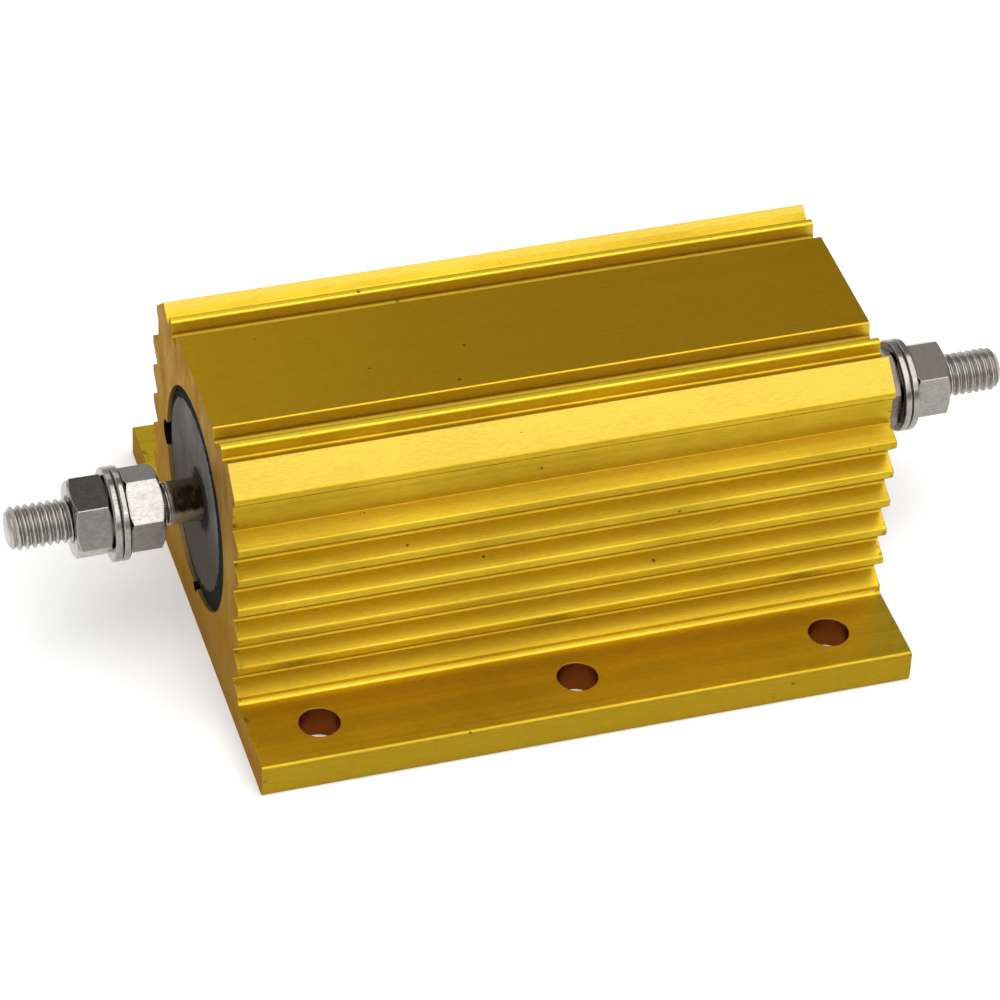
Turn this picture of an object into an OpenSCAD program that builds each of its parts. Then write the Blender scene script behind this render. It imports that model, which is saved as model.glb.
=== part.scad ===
// Aluminium-housed wirewound power resistor for mounting on a heat sink.
// X runs along the terminal studs, Y across the base and Z up. The base stands on Z = 0.

/* [Housing] */
// Length of the sawn extrusion along the studs
body_length = 88.8; // [84:0.4:100]
// Width over both mounting flanges
base_width = 70.6; // [69:0.2:78]
// Thickness of the mounting flanges
flange_thickness = 4.8; // [4.4:0.1:5.2]
// Height from the base to the flat top
body_height = 40.8; // [40.2:0.1:42]
// Height of the round bore's axis above the base
bore_height = 21; // [20.6:0.1:21.4]
// Diameter of the round bore that takes the element
bore_d = 30.2; // [29:0.1:31]
// Rounding of the flanges' outer edges
flange_edge_r = 0.5; // [0.2:0.1:1]

// How far the housing sits along X from the midpoint between the stud tips
housing_shift = 0.8; // [-1:0.1:1]

/* [Top face] */
// Width of the flat strip that carries the marking
plateau_width = 19; // [17:0.2:20]
// Width of the round-cornered channel on each side of the strip
channel_width = 3.1; // [2.7:0.1:3.4]
// Depth of that channel
channel_depth = 2.1; // [1.5:0.1:2.3]
// Corner radius at the bottom of the channel
channel_r = 0.6; // [0.3:0.05:0.9]
// How far each channel wall leans out from bottom to top
channel_lean = 0.35; // [0.1:0.05:0.5]
// Rounding of the strip's long edges
plateau_edge_r = 0.25; // [0.15:0.05:0.4]
// Width of the rib between the channel and the vee groove
rib_width = 1; // [0.8:0.05:1.2]
// Rounding of the rib's two edges
rib_edge_r = 0.4; // [0.2:0.05:0.4]
// Width of the vee groove beside the shoulder
vee_width = 3.2; // [2.8:0.1:3.4]
// Depth of the vee groove
vee_depth = 1.6; // [1.2:0.1:1.8]
// How far the rib's wall leans out down to the vee
vee_lean = 0.4; // [0.2:0.05:0.5]
// Fillet between the rib's wall and the bottom of the vee
vee_r = 0.3; // [0.2:0.05:0.4]
// Width of the flat at the bottom of the vee
vee_flat = 0.2; // [0.1:0.05:0.4]

/* [Sides] */
// Width over the two shoulder lips
shoulder_width = 41; // [40.6:0.1:41.6]
// Fall of the sloping shoulder from the top to the lip, in degrees
shoulder_angle = 42; // [39:1:44]
// Rounding where the shoulder turns down to the lip
shoulder_r = 0.5; // [0.3:0.1:0.8]
// Height of the lip's upright side
lip_height = 0.75; // [0.5:0.05:1]
// Rise of the lip's slanted underside
lip_under = 0.9; // [0.6:0.1:1.2]
// Width of the neck under the two lips
neck_width = 39.2; // [38.6:0.1:39.8]
// Width over the tips of the fins
fin_span = 45.2; // [43.6:0.2:46.8]
// Distance from one fin to the next
fin_pitch = 5.02; // [4.9:0.02:5.1]
// Number of fins on each side
fin_count = 5; // [3:1:5]
// Height of the lowest fin's tip above the flange
fin_rise = 6.05; // [5.8:0.05:6.2]
// Thickness of a fin at its tip
fin_tip = 1; // [0.8:0.05:1.2]
// Fall of a fin's upper face toward its tip, in degrees
fin_slope = 24.5; // [20:0.5:27]
// Slope of a fin's underside, in degrees
fin_under_angle = 44; // [38:1:46]
// Rounding of the upper edge of a fin's tip
fin_tip_r = 0.4; // [0.2:0.05:0.6]
// Rounding at the bottom of the gaps between fins
fin_root_r = 0.35; // [0.25:0.05:0.6]
// Rise of the top fin's upper face toward the neck
top_fin_rise = 0.95; // [0.7:0.05:1.4]
// Height of the ledge below the lowest fin, above the flange
ledge_rise = 1.05; // [0.8:0.05:1.2]
// Size of the bevelled foot where the ledge meets the flange
ledge_foot = 0.5; // [0.3:0.05:0.6]

/* [Bore keys] */
// Diameter of the key groove at the side of the bore
side_key_d = 3.8; // [3:0.1:4.2]
// Place of the side key groove around the bore, in degrees above +Y
side_key_angle = -4; // [-10:1:4]
// Diameter of the small key groove at the bottom of the bore
foot_key_d = 1.9; // [1.4:0.1:2.4]

/* [Mounting holes] */
// Diameter of the mounting holes
hole_d = 5.5; // [4.5:0.1:6]
// Distance between neighbouring holes along a flange
hole_pitch = 35; // [33:0.5:36]
// Distance between the two rows of holes
hole_row_spacing = 57.2; // [56.8:0.1:58.6]

/* [Resistance element] */
// Distance from the sawn ends to the ceramic core
core_inset = 11.4; // [10.8:0.1:13.4]
// Outer diameter of the ceramic core
core_d = 18; // [16:0.2:19]
// Diameter of the hole through the core
core_hole_d = 8; // [6:0.2:10]
// Diameter of the resistance wire
wire_d = 0.9; // [0.6:0.05:1.2]
// Number of turns on the core
wire_turns = 22; // [16:1:26]
// Wall of the pressed end caps
cap_wall = 1.1; // [0.8:0.1:1.4]
// Length of core that each cap grips
cap_grip = 5.5; // [4:0.5:7]
// Bare core between the winding and each cap
winding_margin = 0.3; // [0.2:0.1:0.6]

/* [End closure] */
// Thickness of the discs that centre the element
disc_thickness = 1.8; // [1.4:0.1:2.2]
// Thickness of the cement seals
seal_thickness = 4.5; // [4:0.1:4.8]
// Depth of the cement below the sawn end
seal_recess = 0.5; // [0.3:0.1:1]
// Depth of the hollow edge around the cement
seal_meniscus = 0.1; // [0.05:0.05:0.3]
// Width of that hollow edge
seal_edge = 1.2; // [0.8:0.1:1.6]

/* [Terminals] */
// Outer diameter of the terminal studs' thread
stud_d = 5.9; // [5.4:0.05:6]
// Reach of the studs beyond the ends of a housing that sits midway between them
terminal_reach = 24.35; // [23:0.05:27]
// Chamfer on the tip of each stud
stud_tip_chamfer = 0.8; // [0.5:0.1:1.1]
// Diameter of the stud's head, welded to the end cap
stud_head_d = 12; // [10:0.5:14]
// Thickness of the stud's head
stud_head_t = 1.5; // [1.2:0.1:1.8]
// Free length of stud beyond the outer nut
thread_end = 8.35; // [7:0.05:9]
// Width of the nuts across flats
nut_flats = 9.8; // [9.4:0.1:10]
// Thickness of the nuts
nut_t = 4.8; // [4.4:0.1:5.2]
// Angle of the chamfer on the nuts' corners
nut_chamfer_angle = 30; // [20:1:35]
// Countersink at the mouths of the nuts
nut_sink = 0.35; // [0.2:0.05:0.5]
// Outer diameter of the washers
washer_d = 12.6; // [11.8:0.1:13]
// Hole in the washers
washer_hole_d = 6.4; // [6.2:0.1:6.8]
// Thickness of the washers
washer_t = 1.1; // [0.8:0.1:1.4]
// Rounding of the washers' rims
washer_r = 0.3; // [0.1:0.05:0.35]
// Turn of the left inner nut, in degrees
left_inner_turn = 41; // [0:1:59]
// Turn of the left outer nut, in degrees
left_outer_turn = 11; // [0:1:59]
// Turn of the right inner nut, in degrees
right_inner_turn = 35; // [0:1:59]
// Turn of the right outer nut, in degrees
right_outer_turn = 21; // [0:1:59]

/* [Fits] */
// Radial gap between pieces that slide together
fit_gap = 0.03; // [0.02:0.01:0.06]

/* [Hidden] */
$fn = 96;
// Overlap that lets a rounding's circle cross its flats cleanly
blend = 0.002;
bore_r = bore_d / 2;
stud_r = stud_d / 2;
half_span = body_length / 2 + terminal_reach;
core_length = body_length - 2 * core_inset;
fin_edge = fin_span / 2;
neck = neck_width / 2;
lip = shoulder_width / 2;
cap_r = core_d / 2 + fit_gap + cap_wall;
cap_mouth = core_length / 2 - cap_grip;
cap_face = core_length / 2 + cap_wall;
winding_end = cap_mouth - winding_margin;
winding_r = core_d / 2 + fit_gap + wire_d;
seal_face = body_length / 2 - seal_recess;
disc_face = seal_face - seal_thickness;
fill_end = disc_face - disc_thickness;
outer_nut_at = half_span - thread_end - nut_t;
outer_washer_at = outer_nut_at - washer_t;
inner_washer_at = outer_washer_at - washer_t;
inner_nut_at = inner_washer_at - nut_t;
washer_drop = (washer_hole_d - stud_d) / 2 - fit_gap;
rib_inner = plateau_width / 2 + channel_width;
rib_outer = rib_inner + rib_width;
crest = rib_outer + vee_width;
lip_top = body_height - (lip - crest) * tan(shoulder_angle);
lip_z = lip_top - lip_height;
ledge_top = flange_thickness + ledge_rise;

// Height of the tip of a fin, the lowest fin being number 1
function fin_top(k) = flange_thickness + fin_rise + (k - 1) * fin_pitch;

// Turns a profile of (radius, position) about the bore's axis, for the left or right end
module about_axis(side, shift = 0) {
    translate([shift, 0, bore_height]) mirror([side < 0 ? 1 : 0, 0, 0])
        rotate([0, 90, 0]) rotate_extrude() children();
}

// Outline of half of the extrusion before its grooves are cut
module half_blank() {
    fin_z = fin_top(fin_count);
    polygon([[0, 0], [base_width / 2 - flange_edge_r, 0], [base_width / 2 - flange_edge_r, flange_thickness],
        [fin_edge + ledge_foot, flange_thickness],
        [fin_edge + 0.4 * ledge_foot, flange_thickness + 0.4 * ledge_foot],
        [fin_edge, flange_thickness + ledge_foot], [fin_edge, fin_z],
        [neck, fin_z + top_fin_rise], [neck, lip_z - lip_under], [lip, lip_z], [lip, lip_top],
        [crest, body_height], [0, body_height]]);
    for (z = [flange_edge_r, flange_thickness - flange_edge_r])
        translate([base_width / 2 - flange_edge_r, z]) circle(flange_edge_r);
    translate([0, flange_edge_r]) square([base_width / 2, flange_thickness - 2 * flange_edge_r]);
}

// Vee-shaped air space between the underside of fin k and the sloping face below it
module fin_gap(k) {
    foot = k == 1 ? ledge_top : fin_top(k - 1);
    mouth = fin_top(k) - fin_tip - foot;
    depth = (mouth - fin_root_r * (1 / cos(fin_slope) + 1 / cos(fin_under_angle)))
        / (tan(fin_slope) + tan(fin_under_angle));
    centre = [fin_edge - depth, foot + depth * tan(fin_slope) + fin_root_r / cos(fin_slope)];
    polygon([[fin_edge + 1, foot - tan(fin_slope)],
        centre - fin_root_r * [sin(fin_slope), cos(fin_slope)],
        centre + fin_root_r * [-sin(fin_under_angle), cos(fin_under_angle)],
        [fin_edge + 1, foot + mouth + tan(fin_under_angle)]]);
    translate(centre) circle(fin_root_r + blend);
}

// Sliver that rounds a corner at (y, z), between a top that falls and a side that leans outward.
// A corner that faces the middle has way -1.
module round_off(y, z, r, fall = 0, lean = 0, way = 1) {
    reach = r / tan(45 + (fall + lean) / 2);
    top = [sin(fall), cos(fall)];
    side = [cos(lean), sin(lean)];
    on_top = reach * [-cos(fall), sin(fall)];
    on_side = reach * [sin(lean), -cos(lean)];
    spare = 0.2;
    translate([y, z]) mirror([way < 0 ? 1 : 0, 0]) difference() {
        polygon([on_top - r * top, on_top + spare * top, spare * (top + side), on_side + spare * side]);
        translate(on_top - r * top) circle(r + blend);
    }
}

// Channel, vee groove, fin gaps and rounded corners of one side
module half_grooves() {
    inner = plateau_width / 2;
    low = body_height - channel_depth;
    vee_z = body_height - vee_depth;
    vee_foot = rib_outer + vee_lean + vee_r;
    wall_lean = atan(channel_lean / (channel_depth - channel_r));
    polygon([[inner, body_height + 1], [inner, body_height], [inner + channel_lean, low + channel_r],
        [inner + channel_lean + channel_r, low], [rib_inner - channel_lean - channel_r, low],
        [rib_inner - channel_lean, low + channel_r], [rib_inner, body_height], [rib_inner, body_height + 1]]);
    for (y = [inner + channel_lean + channel_r, rib_inner - channel_lean - channel_r])
        translate([y, low + channel_r]) circle(channel_r);
    polygon([[rib_outer, body_height + 1], [rib_outer, body_height],
        [rib_outer + vee_lean, vee_z + vee_r], [vee_foot, vee_z], [vee_foot + vee_flat, vee_z],
        [crest, body_height], [crest, body_height + 1]]);
    translate([vee_foot, vee_z + vee_r]) circle(vee_r);
    round_off(inner, body_height, plateau_edge_r, 0, wall_lean);
    round_off(rib_inner, body_height, rib_edge_r, 0, wall_lean, -1);
    round_off(rib_outer, body_height, rib_edge_r, 0, atan(vee_lean / (vee_depth - vee_r)));
    for (k = [1 : fin_count]) fin_gap(k);
    for (k = [1 : fin_count - 1]) round_off(fin_edge, fin_top(k), fin_tip_r, fin_slope);
    round_off(fin_edge, fin_top(fin_count), fin_tip_r, atan(top_fin_rise / (fin_edge - neck)));
    round_off(lip, lip_top, shoulder_r, shoulder_angle);
}

// Full cross section of the extrusion
module section() {
    difference() {
        for (side = [0, 1]) mirror([side, 0]) half_blank();
        for (side = [0, 1]) mirror([side, 0]) half_grooves();
        translate([0, bore_height]) {
            circle(bore_r);
            rotate(side_key_angle) translate([bore_r, 0]) circle(side_key_d / 2);
            translate([0, -bore_r]) circle(foot_key_d / 2);
        }
    }
}

module housing() {
    color("goldenrod") translate([housing_shift, 0, 0]) difference() {
        translate([-body_length / 2, 0, 0]) rotate([90, 0, 90]) linear_extrude(body_length) section();
        for (x = [-1, 0, 1], y = [-1, 1])
            translate([x * hole_pitch, y * hole_row_spacing / 2, -1])
                cylinder(d = hole_d, h = flange_thickness + 2);
    }
}

module ceramic_core() {
    color("linen") about_axis(1) translate([core_hole_d / 2, -core_length / 2])
        square([(core_d - core_hole_d) / 2, core_length]);
}

// One ridge for each turn of the closely wound wire
module resistance_winding() {
    inner = core_d / 2 + fit_gap;
    step = 2 * winding_end / wire_turns;
    ridges = [for (i = [0 : wire_turns - 1], part = [0, 1])
        [inner + (part == 0 ? 0.45 : 1) * wire_d, -winding_end + (i + part / 2) * step]];
    color("silver") about_axis(1)
        polygon(concat([[inner, -winding_end]], ridges,
            [[inner + 0.45 * wire_d, winding_end], [inner, winding_end]]));
}

module end_cap(side) {
    grip = core_d / 2 + fit_gap;
    color("lightsteelblue") about_axis(side)
        polygon([[0, core_length / 2], [grip, core_length / 2], [grip, cap_mouth], [cap_r, cap_mouth],
            [cap_r, cap_face], [0, cap_face]]);
}

// Moulding compound between the wound core and the bore
module filler() {
    head_r = stud_head_d / 2 + fit_gap;
    head_face = cap_face + stud_head_t + fit_gap;
    hollow = [[0, -head_face], [head_r, -head_face], [head_r, -cap_face - fit_gap],
        [cap_r + fit_gap, -cap_face - fit_gap], [cap_r + fit_gap, -cap_mouth + fit_gap],
        [winding_r + fit_gap, -cap_mouth + fit_gap]];
    color("gray") difference() {
        about_axis(1, housing_shift) translate([0, -fill_end]) square([bore_r - fit_gap, 2 * fill_end]);
        about_axis(1)
            polygon(concat(hollow, [for (i = [len(hollow) - 1 : -1 : 0]) [hollow[i][0], -hollow[i][1]]]));
        about_axis(1, housing_shift) translate([0, -fill_end - 1])
            square([stud_r + fit_gap, 2 * fill_end + 2]);
    }
}

// Fibre disc that holds the element on the bore's axis
module centring_disc(side) {
    color("tan") about_axis(side, housing_shift) translate([stud_r + fit_gap, fill_end])
        square([bore_r - stud_r - 2 * fit_gap, disc_thickness]);
}

// Cement poured over the disc, hollow along its edge
module end_seal(side) {
    edge = bore_r - fit_gap;
    color("dimgray") about_axis(side, housing_shift)
        polygon([[stud_r + fit_gap, disc_face], [edge, disc_face], [edge, seal_face - seal_meniscus],
            [edge - seal_edge / 2, seal_face - seal_meniscus * 0.7], [edge - seal_edge, seal_face],
            [stud_r + fit_gap, seal_face]]);
}

module terminal_stud(side) {
    base = cap_face;
    tip = half_span;
    color("lightgray") about_axis(side)
        polygon([[0, base], [stud_head_d / 2, base], [stud_head_d / 2, base + stud_head_t],
            [stud_r, base + stud_head_t], [stud_r, tip - stud_tip_chamfer],
            [stud_r - stud_tip_chamfer, tip], [0, tip]]);
}

// Hexagon nut with chamfered corners, its inner face at position at
module nut(side, at, turn) {
    hole = stud_r + fit_gap;
    corner = nut_flats / sqrt(3);
    flat = nut_flats / 2;
    fall = (corner - flat) * tan(nut_chamfer_angle);
    color("gainsboro") intersection() {
        translate([side * (at + nut_t / 2) - nut_t / 2, 0, bore_height])
            rotate([90, 0, 90]) rotate(turn) linear_extrude(nut_t) circle(corner, $fn = 6);
        about_axis(side)
            polygon([[hole + nut_sink, at], [flat, at], [corner, at + fall], [corner, at + nut_t - fall],
                [flat, at + nut_t], [hole + nut_sink, at + nut_t], [hole, at + nut_t - nut_sink],
                [hole, at + nut_sink]]);
    }
}

// Washer with rounded rims, hanging on the stud
module washer(side, at) {
    color("silver") translate([0, 0, -washer_drop]) about_axis(side) {
        translate([washer_hole_d / 2, at]) square([(washer_d - washer_hole_d) / 2 - washer_r, washer_t]);
        translate([washer_d / 2 - washer_r - 0.1, at + washer_r])
            square([washer_r + 0.1, washer_t - 2 * washer_r]);
        for (z = [at + washer_r, at + washer_t - washer_r])
            translate([washer_d / 2 - washer_r, z]) circle(washer_r);
    }
}

housing();
ceramic_core();
resistance_winding();
end_cap(-1);  // end_cap_left
end_cap(1);  // end_cap_right
filler();
centring_disc(-1);  // centring_disc_left
centring_disc(1);  // centring_disc_right
end_seal(-1);  // end_seal_left
end_seal(1);  // end_seal_right
terminal_stud(-1);  // terminal_stud_left
terminal_stud(1);  // terminal_stud_right
nut(-1, inner_nut_at, left_inner_turn);  // inner_nut_left
nut(1, inner_nut_at, right_inner_turn);  // inner_nut_right
washer(-1, inner_washer_at);  // inner_washer_left
washer(1, inner_washer_at);  // inner_washer_right
washer(-1, outer_washer_at);  // outer_washer_left
washer(1, outer_washer_at);  // outer_washer_right
nut(-1, outer_nut_at, left_outer_turn);  // outer_nut_left
nut(1, outer_nut_at, right_outer_turn);  // outer_nut_right
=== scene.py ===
import math

import bmesh
import bpy
from mathutils import Matrix, Vector


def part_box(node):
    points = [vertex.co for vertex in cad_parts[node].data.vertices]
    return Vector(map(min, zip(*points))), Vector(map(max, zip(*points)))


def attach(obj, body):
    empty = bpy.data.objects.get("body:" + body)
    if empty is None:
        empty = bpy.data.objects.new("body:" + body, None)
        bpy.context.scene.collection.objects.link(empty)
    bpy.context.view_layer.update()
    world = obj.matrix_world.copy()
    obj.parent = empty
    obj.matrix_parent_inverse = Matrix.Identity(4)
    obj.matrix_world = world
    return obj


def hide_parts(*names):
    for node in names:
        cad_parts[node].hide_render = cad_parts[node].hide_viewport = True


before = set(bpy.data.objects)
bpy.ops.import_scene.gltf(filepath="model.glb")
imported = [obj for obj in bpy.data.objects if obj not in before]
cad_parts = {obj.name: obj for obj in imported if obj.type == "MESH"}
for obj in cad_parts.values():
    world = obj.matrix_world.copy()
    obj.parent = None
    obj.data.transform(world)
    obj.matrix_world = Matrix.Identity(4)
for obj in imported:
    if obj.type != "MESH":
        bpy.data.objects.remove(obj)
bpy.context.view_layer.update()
print("model loaded")

raySamples = 4  # of each bevel and occlusion node
noiseSpan = (0.3, 0.7)  # nearly all of a noise pattern's values


def put(tree, kind, inputs=None, **settings):
    # one node; an input is a plain value or another node's socket
    node = tree.nodes.new(kind)
    for name, value in settings.items():
        setattr(node, name, value)
    for name, value in (inputs or {}).items():
        if isinstance(value, bpy.types.NodeSocket):
            tree.links.new(value, node.inputs[name])
        else:
            node.inputs[name].default_value = value
    return node


def calc(tree, operation, *values, clamp=False):
    numbers = dict(enumerate(values))
    return put(tree, "ShaderNodeMath", numbers, operation=operation, use_clamp=clamp).outputs[0]


def plus(tree, first, second):
    return calc(tree, "ADD", first, second)


def minus(tree, first, second):
    return calc(tree, "SUBTRACT", first, second)


def times(tree, first, second):
    return calc(tree, "MULTIPLY", first, second)


def mixed(tree, first, second, share):
    # share is how much of the second value goes in
    return plus(tree, times(tree, first, 1 - share), times(tree, second, share))


def reach(tree, first, second):
    # length of the hypotenuse
    return calc(tree, "SQRT", plus(tree, times(tree, first, first), times(tree, second, second)))


def ramp(tree, value, low, high, start=0.0, end=1.0, curve="SMOOTHSTEP"):
    # value from low to high, carried over to start .. end
    span = {"Value": value, "From Min": low, "From Max": high, "To Min": start, "To Max": end}
    return put(tree, "ShaderNodeMapRange", span, interpolation_type=curve).outputs["Result"]


def under(level, depths):
    # the levels that lie these depths below one level
    return [level - depth for depth in depths]


def blendColours(tree, factor, first, second, mode="MIX"):
    node = put(tree, "ShaderNodeMix", data_type="RGBA", blend_type=mode)
    for name, value in (("Factor", factor), ("A", first), ("B", second)):
        socket = [s for s in node.inputs if s.name == name and s.enabled][0]
        if isinstance(value, bpy.types.NodeSocket):
            tree.links.new(value, socket)
        else:
            socket.default_value = value if name == "Factor" else tuple(value) + (1.0,)
    return [s for s in node.outputs if s.enabled][0]


def lay(tree, colour, mask, over, share=1.0):
    # a second colour over the first where the mask is 1, as strongly as share says
    if share != 1.0:
        mask = times(tree, mask, share)
    return blendColours(tree, mask, colour, over)


def noise(tree, coordinates, stretch, detail=3.0, roughness=0.55):
    # stretch holds the pattern's cells per metre along X, Y and Z
    place = put(tree, "ShaderNodeMapping", {"Vector": coordinates, "Scale": stretch})
    look = {"Vector": place.outputs[0], "Scale": 1.0, "Detail": detail, "Roughness": roughness}
    return put(tree, "ShaderNodeTexNoise", look).outputs[0]


def startMaterial(name):
    material = bpy.data.materials.new(name)
    material.use_nodes = True
    tree = material.node_tree
    shader = [n for n in tree.nodes if n.type == "BSDF_PRINCIPLED"][0]
    where = put(tree, "ShaderNodeTexCoord").outputs["Object"]
    return material, tree, shader, where


def splitPlace(tree, where):
    return put(tree, "ShaderNodeSeparateXYZ", {0: where}).outputs


def softNormal(tree, radius):
    # normal rounded off near sharp edges
    return put(tree, "ShaderNodeBevel", {"Radius": radius}, samples=raySamples).outputs[0]


def openness(tree, distance, ownOnly=False):
    # 1 in the open, less where surfaces stand close
    return put(tree, "ShaderNodeAmbientOcclusion", {"Distance": distance}, samples=raySamples,
               only_local=ownOnly).outputs["AO"]


def bump(tree, height, distance, normal=None):
    sockets = {"Height": height, "Distance": distance, "Strength": 1.0}
    if normal is not None:
        sockets["Normal"] = normal
    return put(tree, "ShaderNodeBump", sockets).outputs[0]


def edgeMask(tree, rounded, gain):
    # 0 on the flats, up to 1 on edges, for wear and a painted highlight
    flat = put(tree, "ShaderNodeNewGeometry").outputs["True Normal"]
    dot = put(tree, "ShaderNodeVectorMath", {0: rounded, 1: flat}, operation="DOT_PRODUCT").outputs["Value"]
    return calc(tree, "MULTIPLY", minus(tree, 1.0, dot), gain, clamp=True)


def dress(name, material):
    body = bpy.data.objects[name]
    for slot in body.material_slots:
        slot.material = material
    if not body.material_slots:
        body.data.materials.append(material)


# camera; angles in degrees, place in metres
cameraSetup = {"place": (-0.1606, -0.4667, 0.4350), "azimuth": -18.83, "elevation": 40.63, "roll": 3.04,
               "lens": 174.3, "sensor": 36, "clip": (0.01, 20)}


def makeCamera():
    a, e, r = (math.radians(cameraSetup[k]) for k in ("azimuth", "elevation", "roll"))
    back = Vector((math.sin(a) * math.cos(e), -math.cos(a) * math.cos(e), math.sin(e)))
    right = Vector((math.cos(a), math.sin(a), 0))
    up = back.cross(right)
    right, up = right * math.cos(r) + up * math.sin(r), up * math.cos(r) - right * math.sin(r)
    data = bpy.data.cameras.new("camera")
    data.lens = cameraSetup["lens"]
    data.sensor_width = cameraSetup["sensor"]
    data.clip_start, data.clip_end = cameraSetup["clip"]
    camera = bpy.data.objects.new("camera", data)
    place = Matrix((right, up, back)).transposed().to_4x4()
    place.translation = cameraSetup["place"]
    camera.matrix_world = place
    bpy.context.scene.collection.objects.link(camera)
    bpy.context.scene.camera = camera


makeCamera()
print("camera placed")

# floor and light; a box is a flat lamp that faces the origin
studio = {
    "floorColour": (0.90, 0.90, 0.895), "floorLift": 0.18, "floorSize": 12.0, "floorRoughness": 0.9,
    "floorSpecular": 0.1, "mottle": 0.985, "mottleCells": (9, 9, 9),
    "boxes": {
        "overhead": {"direction": (0.2, -0.27, 0.94), "distance": 1.15, "size": (1.4, 1.4), "level": 2.2},
        "front": {"direction": (0.15, -0.84, 0.50), "distance": 1.2, "size": (1.3, 0.45), "level": 1.3},
        "card": {"direction": (-0.13, 0.72, 0.62), "distance": 0.40, "size": (0.14, 0.14), "level": 1.3}},
    "air": (0.97, 0.985, 1.0), "wallLevel": 0.46, "ceilingLevel": 0.3, "wallToCeiling": (0.5, 0.9),
    "leftGain": 1.6, "rightGain": 0.8, "leftToRight": (-0.1, 0.4)}


def makeFloor():
    mesh = bpy.data.meshes.new("floor")
    s = studio["floorSize"] / 2
    mesh.from_pydata([(-s, -s, 0), (s, -s, 0), (s, s, 0), (-s, s, 0)], [], [(0, 1, 2, 3)])
    floor = bpy.data.objects.new("floor", mesh)
    bpy.context.scene.collection.objects.link(floor)
    material, tree, shader, where = startMaterial("floorPaint")
    mottle = noise(tree, where, studio["mottleCells"], detail=2)
    colour = studio["floorColour"]
    darker = [c * studio["mottle"] for c in colour]
    tree.links.new(blendColours(tree, mottle, colour, darker), shader.inputs["Base Color"])
    shader.inputs["Roughness"].default_value = studio["floorRoughness"]
    shader.inputs["Specular IOR Level"].default_value = studio["floorSpecular"]
    path = put(tree, "ShaderNodeLightPath").outputs
    seen = calc(tree, "MAXIMUM", path["Is Glossy Ray"], path["Is Transmission Ray"])
    seen = calc(tree, "MAXIMUM", path["Is Camera Ray"], seen)
    tree.links.new(times(tree, seen, studio["floorLift"]), shader.inputs["Emission Strength"])
    shader.inputs["Emission Color"].default_value = (1.0, 1.0, 1.0, 1.0)
    mesh.materials.append(material)


def makeLight():
    for name, box in studio["boxes"].items():
        lamp = bpy.data.lights.new(name, "AREA")
        lamp.shape = "RECTANGLE"
        lamp.size, lamp.size_y = box["size"]
        lamp.energy = box["level"] * math.pi * lamp.size * lamp.size_y
        holder = bpy.data.objects.new(name, lamp)
        direction = Vector(box["direction"]).normalized()
        holder.location = direction * box["distance"]
        holder.rotation_euler = direction.to_track_quat("Z", "Y").to_euler()
        bpy.context.scene.collection.objects.link(holder)
    world = bpy.data.worlds.new("studio")
    bpy.context.scene.world = world
    world.use_nodes = True
    tree = world.node_tree
    across, _, height = splitPlace(tree, put(tree, "ShaderNodeTexCoord").outputs["Generated"])
    level = ramp(tree, height, *studio["wallToCeiling"], studio["wallLevel"], studio["ceilingLevel"])
    gain = ramp(tree, across, *studio["leftToRight"], studio["leftGain"], studio["rightGain"])
    background = [n for n in tree.nodes if n.type == "BACKGROUND"][0]
    background.inputs["Color"].default_value = studio["air"] + (1.0,)
    tree.links.new(times(tree, level, gain), background.inputs["Strength"])


makeFloor()
makeLight()
print("studio lit")

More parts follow.
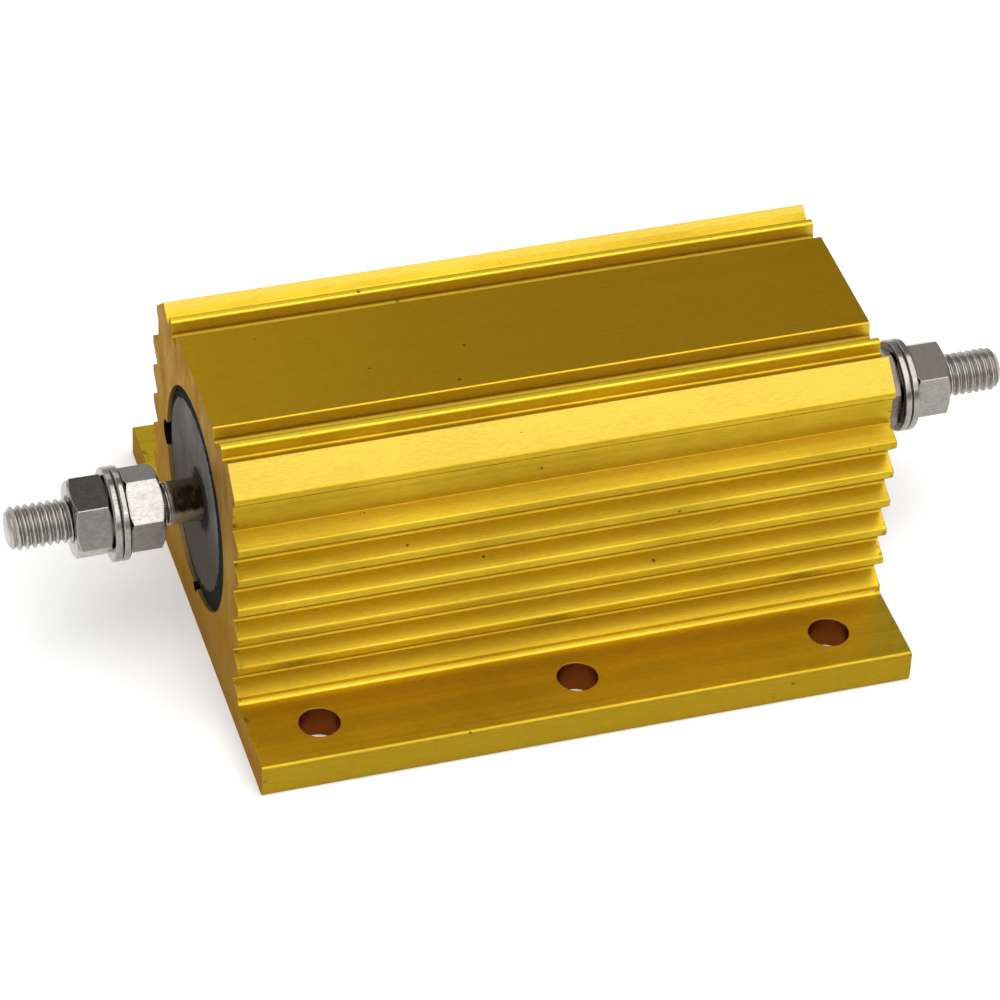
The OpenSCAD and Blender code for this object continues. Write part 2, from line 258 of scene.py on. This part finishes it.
# gold anodising of the extrusion; heights and distances in metres, depths from the top, the outer edge or
# the sawn end, and each share says how strongly a colour covers what is under it
anodising = {
    "gold": (0.56, 0.385, 0.022), "deepGold": (0.42, 0.278, 0.012), "grazing": (0.62, 0.42, 0.12),
    "dieLineCells": (14, 3800, 3800), "broadLineCells": (7, 420, 420), "cloudCells": (60, 80, 80),
    "toneShares": (0.25, 0.3, 0.45), "toneSpan": (0.38, 0.62), "lineDepth": 0.0000035,
    "grainCells": (900, 6500, 6500), "grainLevels": (0.92, 1.08), "grainDepth": 0.000003,
    "roughness": (0.38, 0.46), "coat": 0.08, "coatRoughness": 0.32, "coatIor": 1.6,
    "topSkin": (0.0003, 0.0001),
    "strip": (0.42, 0.234, 0.007), "stripShare": 0.85, "stripEdge": (0.0096, 0.0093),
    "shoulder": (0.475, 0.342, 0.045), "shoulderShare": 0.9, "shoulderDepths": (0.0033, 0.0029),
    "shoulderEdge": (0.0157, 0.0160),
    "groove": (0.76, 0.53, 0.035), "grooveShare": 0.7, "grooveTo": 0.0137,
    "rimShade": (0.35, 0.225, 0.009), "rimDepths": (0.0004, 0.0001),
    "finGrooveLight": (0.67, 0.46, 0.032), "finsBelow": 0.0345, "finGrooveReach": 0.012,
    "finGrooveSpan": (0.9, 0.3),
    "wornAndHighlit": (0.66, 0.50, 0.12), "wornAndHighlitShare": 0.45, "edgeRadius": 0.00014, "edgeGain": 2.5,
    "ribHighlight": (0.90, 0.64, 0.05), "ribMiddle": 0.0131, "ribHalf": 0.0002,
    "channelShade": (0.29, 0.18, 0.009), "channelMiddle": 0.01105, "channelHalf": 0.0014,
    "channelDepths": (0.0014, 0.0018),
    "grimeAndShade": (0.10, 0.055, 0.012), "speckCell": 0.0026, "speckRadius": 0.00028, "speckChance": (0.7, 1.0),
    "speckShare": 0.8, "endShadeCells": (900, 900, 900), "endShadeSpan": (0.56, 0.64),
    "endShadeDepths": (0.001, 0.0002), "endShadeShare": 0.6,
    "holeWallShade": (0.19, 0.036, 0.002), "holeShadeShare": 0.96, "holePitch": 0.035, "holeRow": 0.0286,
    "holeRadius": 0.00275, "holeMargin": 0.00005, "flangeTop": 0.0046,
    "boreHighlight": (0.42, 0.30, 0.13), "boreMargin": 0.0026,
    "key": (0.012, 0.009, 0.007), "keyOffset": 0.00145, "keyHalf": 0.00115,
    "sawn": (0.46, 0.315, 0.13), "sawnDark": (0.33, 0.172, 0.014), "sawnDarkShare": 0.75, "sawnDarkTo": 0.036,
    "sawCells": (3000, 5200, 240), "patinaCells": (300, 260, 140), "patinaShare": 0.55, "sawnRoughness": 0.5,
    "endSkin": 0.00002}
bodyLow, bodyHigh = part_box("housing")
sealLow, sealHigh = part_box("end_seal_left")
axisHeight = (sealLow[2] + sealHigh[2]) / 2
sealRadius = (sealHigh[2] - sealLow[2]) / 2
bodyMiddle = (bodyLow[0] + bodyHigh[0]) / 2
bodyHalf = (bodyHigh[0] - bodyLow[0]) / 2


def toneFaces(tree, gold, outward, z, onTop):
    # painted light and shade on the long faces of the section: painted shade on the top strip and the
    # flange's outer faces, a painted highlight tint on the shoulders, painted light over the channels
    # painted shade: the flat top strip darker and redder than the rest of the gold
    strip = times(tree, onTop, ramp(tree, outward, *anodising["stripEdge"]))
    gold = lay(tree, gold, strip, anodising["strip"], anodising["stripShare"])
    # painted highlight: the sloping shoulders get a paler, more lemon gold
    shoulder = times(tree, ramp(tree, z, *under(bodyHigh[2], anodising["shoulderDepths"])),
                     ramp(tree, outward, *anodising["shoulderEdge"]))
    gold = lay(tree, gold, shoulder, anodising["shoulder"], anodising["shoulderShare"])
    # painted light: a brighter gold over the channels and ribs beside the top strip
    groove = times(tree, calc(tree, "GREATER_THAN", z, anodising["finsBelow"]),
                   calc(tree, "LESS_THAN", outward, anodising["grooveTo"]))
    groove = times(tree, groove, minus(tree, 1.0, strip))
    gold = lay(tree, gold, groove, anodising["groove"], anodising["grooveShare"])
    # painted shade: the flange's outer faces darker
    rimShade = ramp(tree, outward, *under(bodyHigh[1], anodising["rimDepths"]))
    return lay(tree, gold, rimShade, anodising["rimShade"])


def toneEdges(tree, gold, outward, z, onTop, edge):
    # painted light in the grooves between the fins, worn edges with a painted highlight, a painted highlight
    # on the rib tops and painted shade on the channels' bottoms
    # painted light: brighter gold deep in the occluded grooves between the fins
    litGrooves = ramp(tree, openness(tree, anodising["finGrooveReach"], ownOnly=True), *anodising["finGrooveSpan"])
    litGrooves = times(tree, litGrooves, calc(tree, "LESS_THAN", z, anodising["finsBelow"]))
    gold = lay(tree, gold, litGrooves, anodising["finGrooveLight"])
    # worn edges, lighter also as a painted highlight along them
    gold = lay(tree, gold, edge, anodising["wornAndHighlit"], anodising["wornAndHighlitShare"])
    # painted highlight along the rib tops
    ribLight = times(tree, onTop, calc(tree, "COMPARE", outward, anodising["ribMiddle"], anodising["ribHalf"]))
    gold = lay(tree, gold, ribLight, anodising["ribHighlight"])
    # painted shade on the channels' bottoms
    channelShaded = times(tree, ramp(tree, z, *under(bodyHigh[2], anodising["channelDepths"])),
                    calc(tree, "COMPARE", outward, anodising["channelMiddle"], anodising["channelHalf"]))
    return lay(tree, gold, channelShaded, anodising["channelShade"])


def soilAndShade(tree, gold, where, z, toEnd):
    # specks of dirt anywhere, and painted shade in patches on the fins near the sawn ends
    cells = put(tree, "ShaderNodeTexVoronoi", {"Vector": where, "Scale": 1 / anodising["speckCell"]}).outputs
    size = ramp(tree, splitPlace(tree, cells["Color"])[0], *anodising["speckChance"])
    size = times(tree, size, anodising["speckRadius"] / anodising["speckCell"])
    speck = calc(tree, "GREATER_THAN", size, cells["Distance"])
    gold = lay(tree, gold, speck, anodising["grimeAndShade"], anodising["speckShare"])
    # painted shade: dark patches on the fins near the sawn ends
    blotches = noise(tree, where, anodising["endShadeCells"], detail=2)
    endShade = times(tree, ramp(tree, toEnd, *under(bodyHalf, anodising["endShadeDepths"])),
                   ramp(tree, blotches, *anodising["endShadeSpan"]))
    endShade = times(tree, endShade, calc(tree, "LESS_THAN", z, anodising["finsBelow"]))
    return lay(tree, gold, endShade, anodising["grimeAndShade"], anodising["endShadeShare"])


def toneOpenings(tree, gold, x, y, z, outward):
    # painted shade on the walls of the mounting holes and in the bore's key grooves, and a painted highlight
    # on the bore's wall
    # painted shade: the mounting holes' walls a deep dark red
    alongRow = calc(tree, "PINGPONG", minus(tree, x, bodyMiddle), anodising["holePitch"] / 2)
    fromHole = reach(tree, alongRow, minus(tree, outward, anodising["holeRow"]))
    hole = calc(tree, "LESS_THAN", fromHole, anodising["holeRadius"] + anodising["holeMargin"])
    hole = times(tree, hole, calc(tree, "LESS_THAN", z, anodising["flangeTop"]))
    gold = lay(tree, gold, hole, anodising["holeWallShade"], anodising["holeShadeShare"])
    # painted highlight: the bore's wall lightened to a tan
    fromAxis = reach(tree, y, minus(tree, z, axisHeight))
    bore = calc(tree, "LESS_THAN", fromAxis, sealRadius + anodising["boreMargin"])
    gold = lay(tree, gold, bore, anodising["boreHighlight"])
    # painted shade: the bore's key grooves near black
    key = calc(tree, "COMPARE", fromAxis, sealRadius + anodising["keyOffset"], anodising["keyHalf"])
    return lay(tree, gold, key, anodising["key"])


def sawnTone(tree, where, z):
    # bare sawn ends, darker towards the base
    sawLines = noise(tree, where, anodising["sawCells"])
    patina = noise(tree, where, anodising["patinaCells"])
    share = ramp(tree, mixed(tree, sawLines, patina, anodising["patinaShare"]), *anodising["toneSpan"])
    sawn = blendColours(tree, share, anodising["sawnDark"], anodising["sawn"])
    lowDown = ramp(tree, z, 0.0, anodising["sawnDarkTo"], anodising["sawnDarkShare"], 0.0)
    return lay(tree, sawn, lowDown, anodising["sawnDark"])


def makeAnodising():
    material, tree, shader, where = startMaterial("goldAnodising")
    x, y, z = splitPlace(tree, where)
    outward = calc(tree, "ABSOLUTE", y)
    toEnd = calc(tree, "ABSOLUTE", minus(tree, x, bodyMiddle))
    inEnd = calc(tree, "GREATER_THAN", toEnd, bodyHalf - anodising["endSkin"])
    onTop = ramp(tree, z, *under(bodyHigh[2], anodising["topSkin"]))
    rounded = softNormal(tree, anodising["edgeRadius"])
    edge = edgeMask(tree, rounded, anodising["edgeGain"])
    dieLines = noise(tree, where, anodising["dieLineCells"])
    broadLines = noise(tree, where, anodising["broadLineCells"], detail=2)
    clouds = noise(tree, where, anodising["cloudCells"])
    grain = noise(tree, where, anodising["grainCells"], roughness=0.65)
    dieShare, broadShare, cloudShare = anodising["toneShares"]
    tone = plus(tree, times(tree, broadLines, broadShare), times(tree, clouds, cloudShare))
    tone = plus(tree, times(tree, dieLines, dieShare), tone)
    golden = ramp(tree, tone, *anodising["toneSpan"])
    gold = blendColours(tree, golden, anodising["deepGold"], anodising["gold"])
    gold = toneFaces(tree, gold, outward, z, onTop)
    gold = toneEdges(tree, gold, outward, z, onTop, edge)
    gold = blendColours(tree, 1.0, gold, ramp(tree, grain, *noiseSpan, *anodising["grainLevels"]), "MULTIPLY")
    gold = soilAndShade(tree, gold, where, z, toEnd)
    gold = toneOpenings(tree, gold, x, y, z, outward)
    tree.links.new(blendColours(tree, inEnd, gold, sawnTone(tree, where, z)), shader.inputs["Base Color"])
    low, high = anodising["roughness"]
    rough = ramp(tree, tone, *noiseSpan, high, low)
    rough = plus(tree, rough, times(tree, inEnd, anodising["sawnRoughness"] - low))
    tree.links.new(rough, shader.inputs["Roughness"])
    normal = bump(tree, dieLines, anodising["lineDepth"], rounded)
    normal = bump(tree, grain, anodising["grainDepth"], normal)
    tree.links.new(normal, shader.inputs["Normal"])
    shader.inputs["Metallic"].default_value = 1.0
    shader.inputs["Specular Tint"].default_value = anodising["grazing"] + (1.0,)
    shader.inputs["Coat Weight"].default_value = anodising["coat"]
    shader.inputs["Coat Roughness"].default_value = anodising["coatRoughness"]
    shader.inputs["Coat IOR"].default_value = anodising["coatIor"]
    return material


dress("housing", makeAnodising())
print("housing finished")

# stainless steel of nuts, washers and studs
steel = {
    "light": (0.42, 0.392, 0.36), "dark": (0.34, 0.314, 0.288), "wornAndHighlit": (0.80, 0.78, 0.74),
    "paintedShade": (0.07, 0.06, 0.05), "toneSpan": (0.36, 0.6), "speckCells": (900, 900, 900), "wornAndHighlitShare": 0.6,
    "creviceReach": 0.0012, "creviceSpan": (0.2, 0.8), "creviceShade": 0.25, "flatEdge": (0.86, 0.875),
    "flatEdgeHighlightShare": 0.75, "heightShare": 0.5, "depth": 0.000005}
# heat stain on each stud beside the cement; distances across from the studs' axis
shankStain = {
    "ends": (0.0478, 0.0468), "warm": (0.36, 0.29, 0.20), "warmShare": 0.85, "stain": (0.018, 0.011, 0.005),
    "oldStain": (0.095, 0.067, 0.036), "patchCells": (1300, 600, 600), "burntHeights": (-0.0004, 0.0014),
    "burntSpan": (0.05, 0.95), "darkSide": (-0.74, 0.67), "darkFrom": (0.0016, 0.0027), "patchGain": 2.0,
    "darkSpan": (0.0, 1.2), "rougher": 0.25}


def stainShank(tree, colour, rough, where, x, y, raised):
    inner = ramp(tree, calc(tree, "ABSOLUTE", x), *shankStain["ends"])
    colour = lay(tree, colour, inner, shankStain["warm"], shankStain["warmShare"])
    patch = minus(tree, noise(tree, where, shankStain["patchCells"], detail=4, roughness=0.7), 0.5)
    burnt = plus(tree, ramp(tree, raised, *shankStain["burntHeights"]), patch)
    mask = times(tree, inner, ramp(tree, burnt, *shankStain["burntSpan"]))
    across, up = shankStain["darkSide"]
    toSide = plus(tree, times(tree, y, across), times(tree, raised, up))
    darkness = plus(tree, ramp(tree, toSide, *shankStain["darkFrom"]),
                    times(tree, patch, shankStain["patchGain"]))
    darkness = ramp(tree, darkness, *shankStain["darkSpan"])
    stain = blendColours(tree, darkness, shankStain["oldStain"], shankStain["stain"])
    rough = plus(tree, rough, times(tree, mask, shankStain["rougher"]))
    return lay(tree, colour, mask, stain), rough


def makeSteel(name, lines, edgeRadius, edgeGain, roughness, speck, paintedShadeShare=0.0, gain=1.0, flats=(),
              stained=False):
    # each pair gives the turn, in degrees about the studs' axis, of a flat with painted shade, and how dark
    # that shade is
    material, tree, shader, where = startMaterial(name)
    x, y, z = splitPlace(tree, where)
    raised = minus(tree, z, axisHeight)
    brush = noise(tree, where, lines)
    blotch = noise(tree, where, steel["speckCells"], detail=4, roughness=0.7)
    rounded = softNormal(tree, edgeRadius)
    edge = edgeMask(tree, rounded, edgeGain)
    tone = mixed(tree, brush, blotch, speck)
    light, dark = ([c * gain for c in steel[k]] for k in ("light", "dark"))
    colour = blendColours(tree, ramp(tree, tone, *steel["toneSpan"]), dark, light)
    # worn edges, lighter also as a painted highlight along them
    colour = lay(tree, colour, edge, steel["wornAndHighlit"], steel["wornAndHighlitShare"])
    # painted shade where surfaces stand close
    paintedCreviceShade = [c * steel["creviceShade"] for c in steel["dark"]]
    inOpen = ramp(tree, openness(tree, steel["creviceReach"]), *steel["creviceSpan"])
    colour = blendColours(tree, inOpen, paintedCreviceShade, colour)
    # painted shade over the whole part, as strongly as this share says
    colour = blendColours(tree, paintedShadeShare, colour, steel["paintedShade"])
    # painted shade on chosen flats
    for turn, darkness in flats:
        turn = math.radians(turn)
        facing = plus(tree, times(tree, y, math.cos(turn)), times(tree, raised, math.sin(turn)))
        facing = calc(tree, "DIVIDE", facing, reach(tree, y, raised))
        colour = lay(tree, colour, ramp(tree, facing, *steel["flatEdge"], 0.0, darkness), steel["paintedShade"])
    # painted highlight: bright lines along the nuts' edges
    if flats:
        colour = lay(tree, colour, edge, steel["wornAndHighlit"], steel["flatEdgeHighlightShare"])
    smooth, dull = roughness
    rough = ramp(tree, tone, *noiseSpan, dull, smooth)
    if stained:
        colour, rough = stainShank(tree, colour, rough, where, x, y, raised)
    tree.links.new(colour, shader.inputs["Base Color"])
    tree.links.new(rough, shader.inputs["Roughness"])
    height = mixed(tree, brush, blotch, steel["heightShare"])
    tree.links.new(bump(tree, height, steel["depth"], rounded), shader.inputs["Normal"])
    shader.inputs["Metallic"].default_value = 1.0
    return material


# the washers get painted shade over the whole part
washerFinish = {"lines": (2500, 700, 700), "edgeRadius": 0.0001, "edgeGain": 2.5, "roughness": (0.13, 0.27),
                "speck": 0.7, "paintedShadeShare": 0.22}
studFinish = {"lines": (5000, 500, 500), "edgeRadius": 0.00005, "edgeGain": 2.5, "roughness": (0.26, 0.42),
              "speck": 0.4, "gain": 1.15, "stained": True}
nutFinish = {"lines": (1500, 5000, 5000), "edgeRadius": 0.0002, "edgeGain": 6.0, "roughness": (0.18, 0.3),
             "speck": 0.5}
# painted shade on chosen flats of each nut, and over the whole right inner nut
nuts = {"inner_nut_left": {"flats": ((71, 0.48), (191, 0.5))},
        "outer_nut_left": {"flats": ((101, 0.88), (161, 0.5))},
        "inner_nut_right": {"flats": ((111, 0.5), (171, 0.4)), "paintedShadeShare": 0.6},
        "outer_nut_right": {"flats": ((111, 0.94), (171, 0.3))}}
washerSteel = makeSteel("washerSteel", **washerFinish)
studSteel = makeSteel("studSteel", **studFinish)
for name, own in nuts.items():
    dress(name, makeSteel(name + "Steel", **nutFinish, **own))
    dress(name.replace("nut", "washer"), washerSteel)
print("nuts and washers finished")

# threaded studs; lengths in metres, threadFrom along X from the middle of the part, and crest and root in
# parts of a turn
studPlan = {"major": 0.00295, "minor": 0.00245, "shank": 0.0029, "pitch": 0.001, "runOut": 0.0012,
            "threadFrom": 0.0472, "chamfer": 0.0008, "crest": 0.07, "root": 0.43, "columns": 72,
            "rowsPerTurn": 12, "weld": 0.000004, "headThickness": 0.0015, "headEdge": 0.0002,
            "headFillet": 0.0003}


def threadTree(material):
    # thread on a rolled-up grid: u runs along the stud, v once around it
    tree = bpy.data.node_groups.new("studThread", "GeometryNodeTree")
    face = tree.interface
    face.new_socket("Geometry", in_out="INPUT", socket_type="NodeSocketGeometry")
    for name in ("From", "Tip", "Major", "Minor", "Shank", "Pitch", "Run Out", "Chamfer", "Height", "Side"):
        face.new_socket(name, in_out="INPUT", socket_type="NodeSocketFloat")
    for name in ("Rows", "Columns"):
        face.new_socket(name, in_out="INPUT", socket_type="NodeSocketInt")
    face.new_socket("Geometry", in_out="OUTPUT", socket_type="NodeSocketGeometry")
    given = put(tree, "NodeGroupInput").outputs
    # the grid runs past the tip by the chamfer's length, and that part closes the end
    length = plus(tree, minus(tree, given["Tip"], given["From"]), given["Chamfer"])
    grid = put(tree, "GeometryNodeMeshGrid", {"Size X": length, "Size Y": 2 * math.pi,
                                              "Vertices X": given["Rows"], "Vertices Y": given["Columns"]})
    u, v, _ = splitPlace(tree, put(tree, "GeometryNodeInputPosition").outputs[0])
    u = plus(tree, u, plus(tree, given["From"], times(tree, length, 0.5)))
    along = calc(tree, "MINIMUM", u, given["Tip"])
    turns = minus(tree, calc(tree, "DIVIDE", times(tree, along, given["Side"]), given["Pitch"]),
                  calc(tree, "DIVIDE", v, 2 * math.pi))
    wave = calc(tree, "PINGPONG", turns, 0.5)
    flank = ramp(tree, wave, studPlan["crest"], studPlan["root"], curve="LINEAR")
    cut = ramp(tree, flank, 0.0, 1.0, given["Major"], given["Minor"], curve="LINEAR")
    depth = ramp(tree, minus(tree, along, given["From"]), 0.0, given["Run Out"], curve="LINEAR")
    radius = ramp(tree, depth, 0.0, 1.0, given["Shank"], cut, curve="LINEAR")
    bevel = plus(tree, minus(tree, given["Major"], given["Chamfer"]), minus(tree, given["Tip"], along))
    radius = calc(tree, "MINIMUM", radius, bevel)
    over = calc(tree, "DIVIDE", minus(tree, u, given["Tip"]), given["Chamfer"])
    radius = times(tree, radius, minus(tree, 1.0, calc(tree, "MAXIMUM", over, 0.0)))
    point = put(tree, "ShaderNodeCombineXYZ", {
        "X": times(tree, along, given["Side"]),
        "Y": times(tree, radius, calc(tree, "COSINE", v)),
        "Z": plus(tree, given["Height"], times(tree, radius, calc(tree, "SINE", v)))})
    rolled = put(tree, "GeometryNodeSetPosition", {"Geometry": grid.outputs["Mesh"],
                                                   "Position": point.outputs[0]})
    joined = put(tree, "GeometryNodeJoinGeometry")
    tree.links.new(rolled.outputs[0], joined.inputs[0])
    tree.links.new(given["Geometry"], joined.inputs[0])
    welded = put(tree, "GeometryNodeMergeByDistance", {"Geometry": joined.outputs[0],
                                                       "Distance": studPlan["weld"]})
    real = put(tree, "GeometryNodeRealizeInstances", {"Geometry": welded.outputs[0]})
    finished = put(tree, "GeometryNodeSetMaterial", {"Geometry": real.outputs[0], "Material": material})
    put(tree, "NodeGroupOutput", {0: finished.outputs[0]})
    return tree


def lathe(name, profile, side, height, columns):
    # profile of (distance from the middle, radius), turned about the studs' axis
    shape = bmesh.new()
    rings = []
    for x, r in profile:
        if r == 0:
            rings.append([shape.verts.new((side * x, 0, height))])
            continue
        rings.append([shape.verts.new((side * x, r * math.cos(a), height + r * math.sin(a)))
                      for a in (2 * math.pi * i / columns - math.pi for i in range(columns))])
    for one, two in zip(rings, rings[1:]):
        for i in range(columns):
            j = (i + 1) % columns
            corners = [one[i % len(one)], one[j % len(one)], two[j % len(two)], two[i % len(two)]]
            shape.faces.new(list(dict.fromkeys(corners)))
    mesh = bpy.data.meshes.new(name)
    shape.to_mesh(mesh)
    shape.free()
    piece = bpy.data.objects.new(name, mesh)
    bpy.context.scene.collection.objects.link(piece)
    return piece


def makeStud(side, name, tree):
    low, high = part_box("terminal_stud_" + name)
    height = (low[2] + high[2]) / 2
    tip = max(abs(low[0]), abs(high[0]))
    base = min(abs(low[0]), abs(high[0]))
    headRadius = (high[2] - low[2]) / 2
    headFace = base + studPlan["headThickness"]
    edge, fillet, shank = studPlan["headEdge"], studPlan["headFillet"], studPlan["shank"]
    profile = [(base, 0), (base, headRadius - edge), (base + edge, headRadius), (headFace - edge, headRadius),
               (headFace, headRadius - edge), (headFace, shank + fillet), (headFace + fillet, shank),
               (studPlan["threadFrom"], shank)]
    piece = lathe("stud_" + name, profile, side, height, studPlan["columns"])
    modifier = piece.modifiers.new("thread", "NODES")
    modifier.node_group = tree
    gridLength = tip - studPlan["threadFrom"] + studPlan["chamfer"]
    rows = int(gridLength / studPlan["pitch"] * studPlan["rowsPerTurn"]) + 1
    values = {"From": studPlan["threadFrom"], "Tip": tip, "Major": studPlan["major"],
              "Minor": studPlan["minor"], "Shank": shank, "Pitch": studPlan["pitch"],
              "Run Out": studPlan["runOut"], "Chamfer": studPlan["chamfer"], "Height": height,
              "Side": float(side), "Rows": rows, "Columns": studPlan["columns"] + 1}
    for item in tree.interface.items_tree:
        if item.in_out == "INPUT" and item.name in values:
            modifier[item.identifier] = values[item.name]
    graph = bpy.context.evaluated_depsgraph_get()
    mesh = bpy.data.meshes.new_from_object(piece.evaluated_get(graph))
    piece.modifiers.remove(modifier)
    piece.data = mesh
    shape = bmesh.new()
    shape.from_mesh(mesh)
    bmesh.ops.recalc_face_normals(shape, faces=shape.faces)
    shape.to_mesh(mesh)
    shape.free()
    for face in mesh.polygons:
        face.use_smooth = False
    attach(piece, "root")
    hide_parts("terminal_stud_" + name)


threads = threadTree(studSteel)
for side, name in ((-1, "left"), (1, "right")):
    makeStud(side, name, threads)
print("studs threaded")

# cement seals; distances across from the studs' axis
cement = {
    "grey": (0.12, 0.109, 0.10), "pale": (0.225, 0.205, 0.19), "gritCells": (2600, 2600, 2600),
    "patchCells": (260, 260, 160), "patchShare": 0.45, "toneSpan": (0.38, 0.62),
    "low": (0.075, 0.061, 0.047), "lowHeights": (-0.007, 0.009), "lowShare": 0.85,
    "raggedCells": (900, 900, 1600), "raggedness": 0.0014,
    "boreShadow": (0.009, 0.0095, 0.011), "boreShadowShift": (0.0021, -0.0011), "boreShadowRadii": (0.01275, 0.01305),
    "stain": (0.022, 0.015, 0.009), "stainShift": (-0.0012, 0.0008), "stainRadii": (0.005, 0.0036),
    "stainRaggedness": 2.0, "stainShare": 0.92, "roughness": 0.85, "specular": 0.06, "depth": 0.00008}


def makeCement():
    material, tree, shader, where = startMaterial("cement")
    x, y, z = splitPlace(tree, where)
    raised = minus(tree, z, axisHeight)
    grit = noise(tree, where, cement["gritCells"], detail=4, roughness=0.7)
    patches = noise(tree, where, cement["patchCells"], detail=4)
    tone = ramp(tree, mixed(tree, grit, patches, cement["patchShare"]), *cement["toneSpan"])
    colour = blendColours(tree, tone, cement["grey"], cement["pale"])
    lowDown = ramp(tree, raised, *cement["lowHeights"], cement["lowShare"], 0.0)
    colour = lay(tree, colour, lowDown, cement["low"])
    ragged = minus(tree, noise(tree, where, cement["raggedCells"]), 0.5)
    ragged = times(tree, ragged, cement["raggedness"])
    # painted shadow of the bore's edge: a dark crescent along the bore, on the left seal only
    across, up = cement["boreShadowShift"]
    boreShadow = reach(tree, minus(tree, y, across), minus(tree, raised, up))
    boreShadow = ramp(tree, plus(tree, boreShadow, ragged), *cement["boreShadowRadii"])
    boreShadow = times(tree, boreShadow, calc(tree, "LESS_THAN", x, 0.0))
    colour = lay(tree, colour, boreShadow, cement["boreShadow"])
    # burn around the stud
    across, up = cement["stainShift"]
    burn = reach(tree, minus(tree, y, across), minus(tree, raised, up))
    burn = plus(tree, burn, times(tree, ragged, cement["stainRaggedness"]))
    burn = ramp(tree, burn, *cement["stainRadii"], 0.0, cement["stainShare"])
    colour = lay(tree, colour, burn, cement["stain"])
    tree.links.new(colour, shader.inputs["Base Color"])
    shader.inputs["Roughness"].default_value = cement["roughness"]
    shader.inputs["Specular IOR Level"].default_value = cement["specular"]
    tree.links.new(bump(tree, grit, cement["depth"]), shader.inputs["Normal"])
    return material


# plain finishes of the pieces inside the housing
plainFinishes = {
    "ceramic": {"light": (0.80, 0.77, 0.70), "dark": (0.70, 0.66, 0.58), "cells": (700, 700, 700),
                "roughness": 0.6},
    "resistanceAlloy": {"light": (0.40, 0.37, 0.33), "dark": (0.24, 0.21, 0.18), "cells": (3000, 900, 900),
                        "roughness": 0.42, "metallic": 1.0},
    "capSteel": {"light": (0.48, 0.48, 0.47), "dark": (0.36, 0.35, 0.34), "cells": (1500, 500, 500),
                 "roughness": 0.35, "metallic": 1.0, "depth": 0.000006},
    "moulding": {"light": (0.40, 0.37, 0.33), "dark": (0.28, 0.26, 0.23), "cells": (900, 900, 900),
                 "roughness": 0.85},
    "fibre": {"light": (0.46, 0.33, 0.19), "dark": (0.34, 0.23, 0.12), "cells": (500, 2200, 2200),
              "roughness": 0.75}}
plainSpan = (0.35, 0.65)  # pattern values over which dark turns to light


def makePlain(name, light, dark, cells, roughness, metallic=0.0, depth=0.00002, swing=0.08):
    # swing is how far the roughness goes either way
    material, tree, shader, where = startMaterial(name)
    pattern = noise(tree, where, cells, detail=4, roughness=0.6)
    colour = blendColours(tree, ramp(tree, pattern, *plainSpan), dark, light)
    tree.links.new(colour, shader.inputs["Base Color"])
    rough = ramp(tree, pattern, *noiseSpan, roughness + swing, roughness - swing)
    tree.links.new(rough, shader.inputs["Roughness"])
    tree.links.new(bump(tree, pattern, depth), shader.inputs["Normal"])
    shader.inputs["Metallic"].default_value = metallic
    return material


cementFinish = makeCement()
plain = {name: makePlain(name, **finish) for name, finish in plainFinishes.items()}
dress("ceramic_core", plain["ceramic"])
dress("resistance_winding", plain["resistanceAlloy"])
dress("filler", plain["moulding"])
for side in ("left", "right"):
    dress("end_cap_" + side, plain["capSteel"])
    dress("centring_disc_" + side, plain["fibre"])
    dress("end_seal_" + side, cementFinish)
print("inner pieces finished")

settings = bpy.context.scene.view_settings
settings.view_transform = "Standard"
